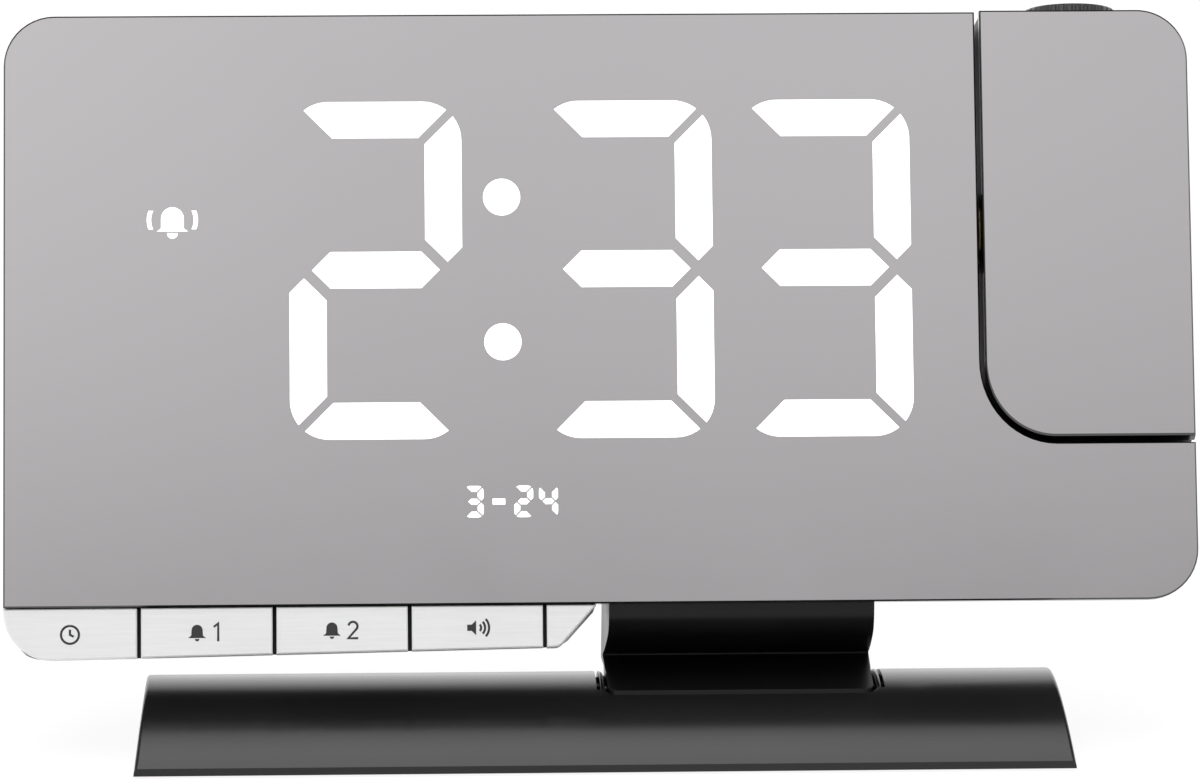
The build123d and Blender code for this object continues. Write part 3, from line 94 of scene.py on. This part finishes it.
# ---- material helpers ----
class Shader:
    """A Principled material with short ways to add texture nodes."""

    def __init__(self, name, color, roughness, metallic=0.0, **sockets):
        self.material = bpy.data.materials.new(name)
        self.material.use_nodes = True
        self.tree = self.material.node_tree
        self.bsdf = self.tree.nodes["Principled BSDF"]
        self.bsdf.inputs["Base Color"].default_value = (*color, 1)
        self.bsdf.inputs["Roughness"].default_value = roughness
        self.bsdf.inputs["Metallic"].default_value = metallic
        for socket, value in sockets.items():
            self.bsdf.inputs[socket.replace("_", " ")].default_value = value

    def add(self, kind, **settings):
        node = self.tree.nodes.new(kind)
        for key, value in settings.items():
            setattr(node, key, value)
        return node

    def link(self, start, end):
        self.tree.links.new(start, end)

    def place(self, stretch=(1, 1, 1), turn=0.0):
        """Object coordinates in metres, turned about X and stretched."""
        coordinates = self.add("ShaderNodeTexCoord")
        mapping = self.add("ShaderNodeMapping")
        mapping.vector_type = "POINT"
        mapping.inputs["Rotation"].default_value = (turn, 0, 0)
        mapping.inputs["Scale"].default_value = stretch
        self.link(coordinates.outputs["Object"], mapping.inputs["Vector"])
        return mapping.outputs["Vector"]

    def noise(self, scale, detail=3.0, stretch=(1, 1, 1), turn=0.0, distortion=0.0):
        """Noise about 0.5, with scale features to the metre."""
        noise = self.add("ShaderNodeTexNoise")
        noise.inputs["Scale"].default_value = scale
        noise.inputs["Detail"].default_value = detail
        noise.inputs["Distortion"].default_value = distortion
        self.link(self.place(stretch, turn), noise.inputs["Vector"])
        return noise.outputs["Fac"]

    def spread(self, value, low, high, start=0.3, end=0.7):
        """value from start..end becomes low..high."""
        ramp = self.add("ShaderNodeMapRange")
        ramp.inputs["From Min"].default_value = start
        ramp.inputs["From Max"].default_value = end
        ramp.inputs["To Min"].default_value = low
        ramp.inputs["To Max"].default_value = high
        self.link(value, ramp.inputs["Value"])
        return ramp.outputs["Result"]

    def shades(self, value, dark, light, start=0.3, end=0.7):
        """value from start..end becomes a colour from dark to light."""
        ramp = self.add("ShaderNodeValToRGB")
        ramp.color_ramp.elements[0].position = start
        ramp.color_ramp.elements[0].color = (*dark, 1)
        ramp.color_ramp.elements[1].position = end
        ramp.color_ramp.elements[1].color = (*light, 1)
        self.link(value, ramp.inputs["Fac"])
        return ramp.outputs["Color"]

    def facing(self, direction, start, end):
        """1 where the surface faces a direction, 0 where it turns away."""
        geometry = self.add("ShaderNodeNewGeometry")
        dot = self.add("ShaderNodeVectorMath", operation="DOT_PRODUCT")
        dot.inputs[1].default_value = direction
        self.link(geometry.outputs["True Normal"], dot.inputs[0])
        return self.spread(dot.outputs["Value"], 0.0, 1.0, start, end)

    def color(self, value):
        self.link(value, self.bsdf.inputs["Base Color"])

    def rough(self, value):
        self.link(value, self.bsdf.inputs["Roughness"])

    def bump(self, height, depth, strength=1.0):
        """Relief of a given depth in metres, over a height from 0 to 1."""
        bump = self.add("ShaderNodeBump")
        bump.inputs["Strength"].default_value = strength
        bump.inputs["Distance"].default_value = depth
        self.link(height, bump.inputs["Height"])
        self.link(bump.outputs["Normal"], self.bsdf.inputs["Normal"])


def grey(value):
    return (value, value, value)


def paint(material, *names):
    """Gives CAD nodes a material in every slot."""
    for name in names:
        mesh = nodes[name].data
        if not mesh.materials:
            mesh.materials.append(material)
        for index in range(len(mesh.materials)):
            mesh.materials[index] = material


# ---- plastics ----
SHEEN_SCALE = 35.0  # broad changes of a moulded face, to the metre
SHEEN_DARK, SHEEN_LIGHT = 0.9, 1.12  # shares of its shade
GRAIN_STRENGTH = 0.6
FINE_GRAIN = {"grain": 3000.0, "depth": 0.01 * MM}
SOFT_GRAIN = {"grain": 1500.0, "depth": 0.008 * MM}


def moulded(name, shade, roughness, grain=2200.0, depth=0.02 * MM, spread=0.05, **sockets):
    """Moulded plastic: fine grain, and a sheen that varies a little."""
    shader = Shader(name, grey(shade), roughness, **sockets)
    broad = shader.noise(SHEEN_SCALE, 4.0)
    shader.rough(shader.spread(broad, roughness - spread, roughness + spread))
    shader.color(shader.shades(broad, grey(shade * SHEEN_DARK), grey(shade * SHEEN_LIGHT)))
    shader.bump(shader.noise(grain, 2.0), depth, GRAIN_STRENGTH)
    return shader.material


def dress_case():
    case = moulded("case_plastic", 0.016, 0.42, Specular_IOR_Level=0.3)
    paint(case, "front_case", "rear_case", "battery_door", "head_shell", "head_back")
    paint(moulded("keys_plastic", 0.012, 0.34, **SOFT_GRAIN), "snooze_bar", *TOP_KEYS)
    ring = moulded("ring_plastic", 0.03, 0.3, Specular_IOR_Level=0.9, **SOFT_GRAIN)
    paint(ring, "focus_ring")


def dress_stand():
    stand = moulded("stand_plastic", 0.012, 0.23, spread=0.02, Specular_IOR_Level=0.36, **FINE_GRAIN)
    paint(stand, "base_shell")
    neck = moulded("neck_plastic", 0.008, 0.3, Specular_IOR_Level=0.2, **FINE_GRAIN)
    paint(neck, "neck", "neck_cover")
    paint(moulded("foot_rubber", 0.02, 0.75, grain=1200.0, depth=0.04 * MM), "rubber_feet")


# ---- mirror, lit signs and silver strip ----
MIRROR_DARK = (0.492, 0.478, 0.488)
MIRROR_LIGHT = (0.522, 0.508, 0.518)
MIRROR_ROUGH = (0.13, 0.2)
HAZE_SCALE = 9.0  # clouds of the haze, to the metre
FINE_SCALE = 60.0  # and its finer clouds
FINE_SHARE = 0.25
HAZE_SPAN = (0.45, 0.8)
# painted shade: the dark grey given to the mirror's bevelled rim, in place of the shade and dark reflection
# there
PAINTED_RIM_SHADE = 0.09
PAINTED_RIM_SPAN = (0.9, 0.97)  # how squarely a face looks forward, from bevel to sheet

LIT_COOL = (0.93, 0.975, 1.0)
LIT_WHITE = (1.0, 1.0, 1.0)

SILVER_DARK, SILVER_LIGHT = 0.78, 0.84
SILVER_ROUGH = (0.36, 0.48)
STROKE_SCALE = 2600.0  # strokes of the lacquer, to the metre
STROKE_STRETCH = (0.04, 1, 1)


def mirror_material():
    """Half-silvered sheet: a grey mirror with a soft haze, and painted shade on its bevelled rim, coloured
    dark to stand in for the dark reflection and shade along that edge.
    """
    shader = Shader("mirror_sheet", MIRROR_LIGHT, 0.16, metallic=1.0)
    broad = shader.noise(HAZE_SCALE, 3.0, distortion=0.6)
    fine = shader.noise(FINE_SCALE, 5.0)
    haze = shader.add("ShaderNodeMath", operation="MULTIPLY_ADD")
    haze.inputs[1].default_value = FINE_SHARE
    shader.link(fine, haze.inputs[0])
    shader.link(broad, haze.inputs[2])
    shader.rough(shader.spread(haze.outputs["Value"], *MIRROR_ROUGH, *HAZE_SPAN))
    silver = shader.shades(haze.outputs["Value"], MIRROR_DARK, MIRROR_LIGHT, *HAZE_SPAN)
    # painted shade: where a face turns away from the front, at the bevelled rim, the colour goes dark
    painted_rim = shader.add("ShaderNodeMix", data_type="RGBA")
    painted_rim.inputs["A"].default_value = (*grey(PAINTED_RIM_SHADE), 1)
    shader.link(silver, painted_rim.inputs["B"])
    shader.link(shader.facing(-BACK, *PAINTED_RIM_SPAN), painted_rim.inputs["Factor"])
    shader.color(painted_rim.outputs["Result"])
    return shader.material


def lit_material():
    """Milky diffuser, lit from behind, in places a little cooler."""
    shader = Shader("lit_diffuser", grey(0.9), 0.35)
    tint = shader.shades(shader.noise(70.0, 2.0), LIT_COOL, LIT_WHITE)
    shader.link(tint, shader.bsdf.inputs["Emission Color"])
    shader.bsdf.inputs["Emission Strength"].default_value = 1.0
    return shader.material


def silver_material():
    """Silver lacquer with fine strokes along the strip."""
    shader = Shader("silver_strip", grey(0.82), 0.42, metallic=0.25)
    strokes = shader.noise(STROKE_SCALE, 3.0, stretch=STROKE_STRETCH, turn=-LEAN)
    shader.color(shader.shades(strokes, grey(SILVER_DARK), grey(SILVER_LIGHT), 0.2, 0.8))
    shader.rough(shader.spread(shader.noise(60.0, 2.0), *SILVER_ROUGH))
    shader.bump(strokes, 0.01 * MM, 0.5)
    return shader.material


def dress_front():
    paint(mirror_material(), "mirror_panel", "head_mirror")
    paint(lit_material(), "digit_hours", "digit_minute_tens", "digit_minute_units", "colon_dots",
          "alarm_icon", "date_digits")
    paint(silver_material(), "strip_end_cap", *STRIP_KEYS)


# ---- what is inside ----
MASK_DARK = (0.008, 0.09, 0.04)
MASK_LIGHT = (0.02, 0.17, 0.07)
TRACK_SCALE = 260.0
METAL_DARK = 0.82  # share of a metal's shade in its strokes


def metal(name, color, roughness, grain, stretch=(1, 1, 1), depth=0.01 * MM):
    """Plain metal with drawn or turned strokes."""
    shader = Shader(name, color, roughness, metallic=1.0)
    texture = shader.noise(grain, 4.0, stretch=stretch)
    dark = tuple(channel * METAL_DARK for channel in color)
    shader.color(shader.shades(texture, dark, color))
    shader.rough(shader.spread(texture, roughness - 0.06, roughness + 0.08))
    shader.bump(texture, depth, 0.4)
    return shader.material


def board_material():
    """Green solder mask with faint copper lines under it."""
    shader = Shader("solder_mask", (0.01, 0.12, 0.05), 0.3)
    wave = shader.add("ShaderNodeTexWave", wave_type="BANDS", bands_direction="X")
    wave.inputs["Scale"].default_value = TRACK_SCALE
    wave.inputs["Distortion"].default_value = 2.0
    shader.link(shader.place(), wave.inputs["Vector"])
    shader.color(shader.shades(wave.outputs["Fac"], MASK_DARK, MASK_LIGHT, 0.4, 0.6))
    return shader.material


def lens_material():
    """Coated clear plastic, with the coating's faint blue."""
    lens = Shader("lens_glass", (0.9, 0.93, 0.95), 0.03, Transmission_Weight=0.9, Coat_Weight=0.4)
    lens.color(lens.shades(lens.noise(120.0, 2.0), (0.75, 0.85, 0.95), (0.95, 0.96, 1.0)))
    return lens.material


def dress_inside():
    paint(moulded("inner_plastic", 0.03, 0.5), "base_floor", "coin_cell_holder", "lens_cell", "power_jack",
          "top_key_switches", "strip_key_switches")
    paint(moulded("reflector_plastic", 0.8, 0.5), "display_reflector")
    paint(board_material(), "display_board", "main_board", "top_key_board", "strip_key_board", "head_board")
    paint(moulded("led_resin", 0.7, 0.2), "display_leds", "projection_led")
    paint(moulded("chip_epoxy", 0.02, 0.45), "main_chips")
    paint(moulded("speaker_paper", 0.04, 0.8, grain=900.0, depth=0.05 * MM), "speaker_cone")
    paint(lens_material(), "projection_lens", "lcd_chip")


def dress_metals():
    steel = metal("steel_parts", grey(0.6), 0.3, 700.0, stretch=(1, 0.1, 1))
    paint(steel, "hinge_pin", "hinge_washers", "pivot_washer", "coin_cell", "speaker_frame", "usb_socket",
          "base_weight")
    paint(metal("capacitor_cans", (0.75, 0.75, 0.76), 0.28, 500.0), "capacitors_and_crystal")
    paint(metal("zinc_screws", (0.55, 0.55, 0.54), 0.32, 900.0), "case_screws", "base_screws", "board_screws")
    paint(metal("speaker_magnet", grey(0.2), 0.5, 900.0), "speaker_magnet")
    brass = metal("turned_brass", (0.72, 0.52, 0.22), 0.25, 1200.0, stretch=(1, 0.1, 0.1))
    paint(brass, "pivot_nut", "pivot_spindle")


# ---- floor ----
FLOOR_HALF = 3.0
FLOOR_DARK, FLOOR_LIGHT = 0.96, 0.98
SHADOW_SHARE = 0.15  # how much of the floor's white a full shadow takes away
FLOOR_GLOW = 1.07


def floor_material():
    """Plain and pale for light, and white with a soft shadow to the eye."""
    shader = Shader("floor", grey(0.9), 0.8, Specular_IOR_Level=0.1)
    shader.color(shader.shades(shader.noise(12.0, 2.0), grey(FLOOR_DARK), grey(FLOOR_LIGHT)))
    pale = shader.bsdf.outputs["BSDF"]
    white = shader.add("ShaderNodeEmission")
    white.inputs["Strength"].default_value = FLOOR_GLOW
    shown = shader.add("ShaderNodeMixShader")
    shown.inputs["Fac"].default_value = SHADOW_SHARE
    shader.link(white.outputs["Emission"], shown.inputs[1])
    shader.link(pale, shown.inputs[2])
    rays = shader.add("ShaderNodeLightPath")
    seen = shader.add("ShaderNodeMath", operation="MAXIMUM")
    shader.link(rays.outputs["Is Camera Ray"], seen.inputs[0])
    shader.link(rays.outputs["Is Glossy Ray"], seen.inputs[1])
    choose = shader.add("ShaderNodeMixShader")
    shader.link(seen.outputs["Value"], choose.inputs["Fac"])
    shader.link(pale, choose.inputs[1])
    shader.link(shown.outputs["Shader"], choose.inputs[2])
    output = shader.tree.nodes["Material Output"]
    shader.link(choose.outputs["Shader"], output.inputs["Surface"])
    return shader.material


def add_floor():
    mesh = bpy.data.meshes.new("floor")
    half = FLOOR_HALF
    corners = [(-half, -half, 0), (half, -half, 0), (half, half, 0), (-half, half, 0)]
    mesh.from_pydata(corners, [], [(0, 1, 2, 3)])
    floor = bpy.data.objects.new("floor", mesh)
    bpy.context.scene.collection.objects.link(floor)
    mesh.materials.append(floor_material())


# ---- studio ----
# brightness by the height of a direction, 0 level and 1 overhead
FRONT_STOPS = (
    (0.0, 0.6), (0.32, 0.42), (0.362, 0.66), (0.38, 0.89), (0.415, 0.966), (0.445, 0.994), (0.48, 1.05),
    (0.6, 1.0), (0.9, 0.9), (1.0, 3.6),
)
BACK_STOPS = (
    (0.0, 1.6), (0.15, 1.5), (0.2, 1.45), (0.26, 1.5), (0.32, 1.55), (0.4, 1.3), (0.47, 0.95),
    (0.53, 0.5), (0.62, 0.06), (0.88, 0.02), (0.925, 0.4), (0.955, 1.3), (0.98, 2.8), (1.0, 3.8),
)
DARKEST, BRIGHTEST = -1.0, 4.0  # all the stops lie between
# what a direction's share to the right adds to the front, from full left (0) to full right (1)
SIDE_STOPS = (
    (0.0, 0.12), (0.4, 0.12), (0.47, 0.08), (0.509, -0.045), (0.545, 0.045), (0.558, -0.02), (0.7, -0.1),
    (1.0, -0.1),
)
# and how much of that counts, by height
SIDE_SHARE_STOPS = ((0.0, 1.0), (0.39, 1.0), (0.415, 1.56), (0.445, 2.04), (0.5, 1.5), (1.0, 1.0))
TURN_SPAN = 0.25  # the front turns into the back over this share of a direction, each way from sideways
CAMERA_WHITE = 1.0


class Studio:
    """The world's nodes, with short ways to add to them."""

    def __init__(self):
        world = bpy.data.worlds.new("studio")
        world.use_nodes = True
        bpy.context.scene.world = world
        self.tree = world.node_tree
        self.background = self.tree.nodes["Background"]

    def add(self, kind):
        return self.tree.nodes.new(kind)

    def link(self, start, end):
        self.tree.links.new(start, end)

    def maths(self, operation, *values):
        """One operation on links and plain numbers."""
        node = self.add("ShaderNodeMath")
        node.operation = operation
        for socket, value in zip(node.inputs, values):
            if isinstance(value, float):
                socket.default_value = value
            else:
                self.link(value, socket)
        return node.outputs["Value"]

    def ramp(self, stops, value):
        """Straight lines through the stops."""
        curve = self.add("ShaderNodeFloatCurve")
        line = curve.mapping.curves[0]
        for _ in range(len(stops) - 2):
            line.points.new(0.5, 0.5)
        for point, (place, shade) in zip(line.points, stops):
            point.location = (place, (shade - DARKEST) / (BRIGHTEST - DARKEST))
            point.handle_type = "VECTOR"
        curve.mapping.update()
        self.link(value, curve.inputs["Value"])
        scaled = self.maths("MULTIPLY", curve.outputs["Value"], BRIGHTEST - DARKEST)
        return self.maths("ADD", scaled, DARKEST)

    def backward(self, y):
        """0 in front, 1 behind, with a soft change between."""
        behind = self.add("ShaderNodeMapRange")
        behind.interpolation_type = "SMOOTHSTEP"
        behind.inputs["From Min"].default_value = -TURN_SPAN
        behind.inputs["From Max"].default_value = TURN_SPAN
        self.link(y, behind.inputs["Value"])
        return behind.outputs["Result"]

    def mix(self, share, start):
        """A mix node that goes from start as its share grows; the caller sets its other end, B."""
        node = self.add("ShaderNodeMix")
        self.link(share, node.inputs["Factor"])
        self.link(start, node.inputs["A"])
        return node


def add_world():
    """White to the camera; a soft studio, with a darker band behind, to everything else."""
    studio = Studio()
    split = studio.add("ShaderNodeSeparateXYZ")
    studio.link(studio.add("ShaderNodeTexCoord").outputs["Generated"], split.inputs["Vector"])
    height = studio.maths("ABSOLUTE", split.outputs["Z"])
    half = studio.maths("MULTIPLY", split.outputs["X"], 0.5)
    side = studio.ramp(SIDE_STOPS, studio.maths("ADD", half, 0.5))
    side = studio.maths("MULTIPLY", side, studio.ramp(SIDE_SHARE_STOPS, height))
    front = studio.maths("ADD", studio.ramp(FRONT_STOPS, height), side)
    shade = studio.mix(studio.backward(split.outputs["Y"]), front)
    studio.link(studio.ramp(BACK_STOPS, height), shade.inputs["B"])
    rays = studio.add("ShaderNodeLightPath")
    seen = studio.mix(rays.outputs["Is Camera Ray"], shade.outputs["Result"])
    seen.inputs["B"].default_value = CAMERA_WHITE
    studio.link(seen.outputs["Result"], studio.background.inputs["Color"])


# ---- light ----
KEY_PLACE = (-0.5, -1.0, 1.5)
KEY_TARGET = (0, 0, 0.06)
KEY_WIDTH, KEY_HEIGHT = 0.7, 0.4
KEY_GLOW = 5.0  # times as bright as white


def add_key_light():
    """A softbox above, to the left of the camera."""
    lamp = bpy.data.lights.new("key_softbox", "AREA")
    lamp.shape = "RECTANGLE"
    lamp.size = KEY_WIDTH
    lamp.size_y = KEY_HEIGHT
    lamp.energy = KEY_GLOW * math.pi * KEY_WIDTH * KEY_HEIGHT
    light = bpy.data.objects.new("key_softbox", lamp)
    light.location = KEY_PLACE
    light.rotation_euler = (Vector(KEY_TARGET) - Vector(KEY_PLACE)).to_track_quat("-Z", "Y").to_euler()
    bpy.context.scene.collection.objects.link(light)


# ---- printed signs ----
INK_DEPTH = 0.02 * MM
INK_GRAIN = 0.004 * MM
KEY_FACE = 0.4 * MM  # the strip's face, behind the mirror's
TOP_KEY_DEPTH = 12.0 * MM
TOP_KEY_TOP = 95.4 * MM
LINE = 0.36 * MM  # weight of the signs' lines
SHARPEST = 0.5  # a bend's mitre reaches no further than a line's half weight over this
STRIP_SIGN = 1.4 * MM
STRIP_SIGN_HEIGHTS = (-4.25 * MM, -4.05 * MM, -3.85 * MM, -3.65 * MM)  # from the mirror's lower edge
TOP_SIGN = 1.3 * MM
TOP_SIGN_HEIGHTS = (0, 0, 0, 0)


def printed(name, loops, place, body, material):
    """Thin raised shapes, each a loop of points; place() puts a point and its lift on the clock."""
    mesh = bpy.data.meshes.new(name)
    form = bmesh.new()
    for loop in loops:
        low, high = ([form.verts.new(place(x, y, lift)) for x, y in loop] for lift in (0, INK_DEPTH))
        form.faces.new(low)
        form.faces.new(reversed(high))
        for index in range(len(loop)):
            after = (index + 1) % len(loop)
            form.faces.new((low[after], low[index], high[index], high[after]))
    bmesh.ops.recalc_face_normals(form, faces=form.faces)
    form.to_mesh(mesh)
    form.free()
    mesh.materials.append(material)
    piece = bpy.data.objects.new(name, mesh)
    bpy.context.scene.collection.objects.link(piece)
    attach(piece, body)


def middle_x(name):
    """The middle of a node, from side to side."""
    across = [(nodes[name].matrix_world @ Vector(corner)).x for corner in nodes[name].bound_box]
    return (min(across) + max(across)) / 2


def on_strip(x, y, lift):
    return on_clock(x, KEY_FACE - lift, y)


def on_top_key(x, y, lift):
    return on_clock(x, TOP_KEY_DEPTH + y, TOP_KEY_TOP + lift)


def arc(radius, start, end, steps=24):
    """Points of an arc about the origin, in degrees."""
    angles = [math.radians(start + (end - start) * step / steps) for step in range(steps + 1)]
    return [(radius * math.cos(angle), radius * math.sin(angle)) for angle in angles]


def stroke(points, width=LINE):
    """The outline of a line of even width through points, with mitred bends."""
    sides = ([], [])
    for index, point in enumerate(points):
        here = Vector(point)
        before = Vector(points[max(index - 1, 0)])
        after = Vector(points[min(index + 1, len(points) - 1)])
        arriving = (here - before) if index else (after - here)
        leaving = (after - here) if index < len(points) - 1 else (here - before)
        normals = [Vector((-step.y, step.x)).normalized() for step in (arriving, leaving)]
        mitre = (normals[0] + normals[1]).normalized()
        reach = width / 2 / max(mitre.dot(normals[0]), SHARPEST)
        sides[0].append(tuple(here + mitre * reach))
        sides[1].append(tuple(here - mitre * reach))
    return sides[0] + sides[1][::-1]


def moved(loops, x, y):
    return [[(px + x, py + y) for px, py in loop] for loop in loops]


def clock_sign(size):
    hands = [(0, size * 0.58), (0, 0), (size * 0.42, -size * 0.22)]
    return [stroke(arc(size, 90, 449, 48)), stroke(hands)]


def bell_sign(size):
    dome = [(x, y + size * 0.25) for x, y in arc(size * 0.62, 0, 180)]
    body = dome + [(-size * 0.66, -size * 0.35), (-size, -size * 0.62), (size, -size * 0.62)]
    body.append((size * 0.66, -size * 0.35))
    clapper = [(x, y - size * 0.72) for x, y in arc(size * 0.26, 180, 360, 12)]
    return [body, clapper]


def number_sign(number, size):
    if number == 1:
        return [stroke([(-size * 0.5, size * 0.62), (0, size), (0, -size)])]
    curl = [(x, y + size * 0.42) for x, y in arc(size * 0.5, 170, -35, 16)]
    return [stroke(curl + [(-size * 0.52, -size * 0.92), (size * 0.58, -size * 0.92)])]


def alarm_sign(number, size, bell_x, number_x):
    """A bell with a number beside it."""
    return moved(bell_sign(size), bell_x, 0) + moved(number_sign(number, size), number_x, 0)


def sound_sign(size):
    horn = [
        (-size, -size * 0.35), (-size, size * 0.35), (-size * 0.5, size * 0.35), (0, size * 0.85),
        (0, -size * 0.85), (-size * 0.5, -size * 0.35),
    ]
    return [horn] + [stroke(arc(radius * size, -42, 42)) for radius in (0.55, 1.0, 1.45)]


def minus_sign(size):
    return [stroke([(-size, 0), (size, 0)])]


def plus_sign(size):
    """A minus, with an upright in two pieces that end at its edges."""
    half = LINE / 2
    return minus_sign(size) + [stroke([(0, half), (0, size)]), stroke([(0, -size), (0, -half)])]


def sun_sign(size):
    rays = []
    for turn in range(8):
        side, rise = math.cos(math.radians(45 * turn)), math.sin(math.radians(45 * turn))
        rays.append(stroke([(side * size * 0.72, rise * size * 0.72), (side * size, rise * size)]))
    return [stroke(arc(size * 0.42, 90, 449, 32))] + rays


def beam_sign(size):
    return [
        stroke([(-size, -size), (-size * 0.3, 0), (-size, size)]),
        stroke([(size, -size * 0.9), (size, size * 0.9)]),
        stroke([(-size * 0.1, 0), (size * 0.75, 0)]),
    ]


def strip_signs(size):
    """Clock, first alarm, second alarm and loudspeaker."""
    return [
        clock_sign(size),
        alarm_sign(1, size, -1.5 * MM, 1.8 * MM),
        alarm_sign(2, size, -1.6 * MM, 1.7 * MM),
        moved(sound_sign(size), -0.2 * MM, 0),
    ]


def top_signs(size):
    """Brightness, less, more and projector beam."""
    return [sun_sign(size), minus_sign(size), plus_sign(size), beam_sign(size * 0.8)]


def print_on(keys, signs, heights, place, ink):
    """Prints one sign on the middle of each key."""
    for name, loops, height in zip(keys, signs, heights):
        loops = moved(loops, middle_x(name), height)
        printed(f"{name}_sign", loops, place, name, ink)


def add_signs():
    """Plain signs where the keys have their labels."""
    dark = moulded("printed_ink", 0.02, 0.5, depth=INK_GRAIN)
    pale = moulded("pale_ink", 0.5, 0.55, depth=INK_GRAIN)
    print_on(STRIP_KEYS, strip_signs(STRIP_SIGN), STRIP_SIGN_HEIGHTS, on_strip, dark)
    print_on(TOP_KEYS, top_signs(TOP_SIGN), TOP_SIGN_HEIGHTS, on_top_key, pale)


def main():
    bpy.context.scene.view_settings.view_transform = "Standard"
    add_camera()
    add_floor()
    add_world()
    add_key_light()
    dress_case()
    dress_stand()
    dress_front()
    dress_inside()
    dress_metals()
    add_signs()


main()
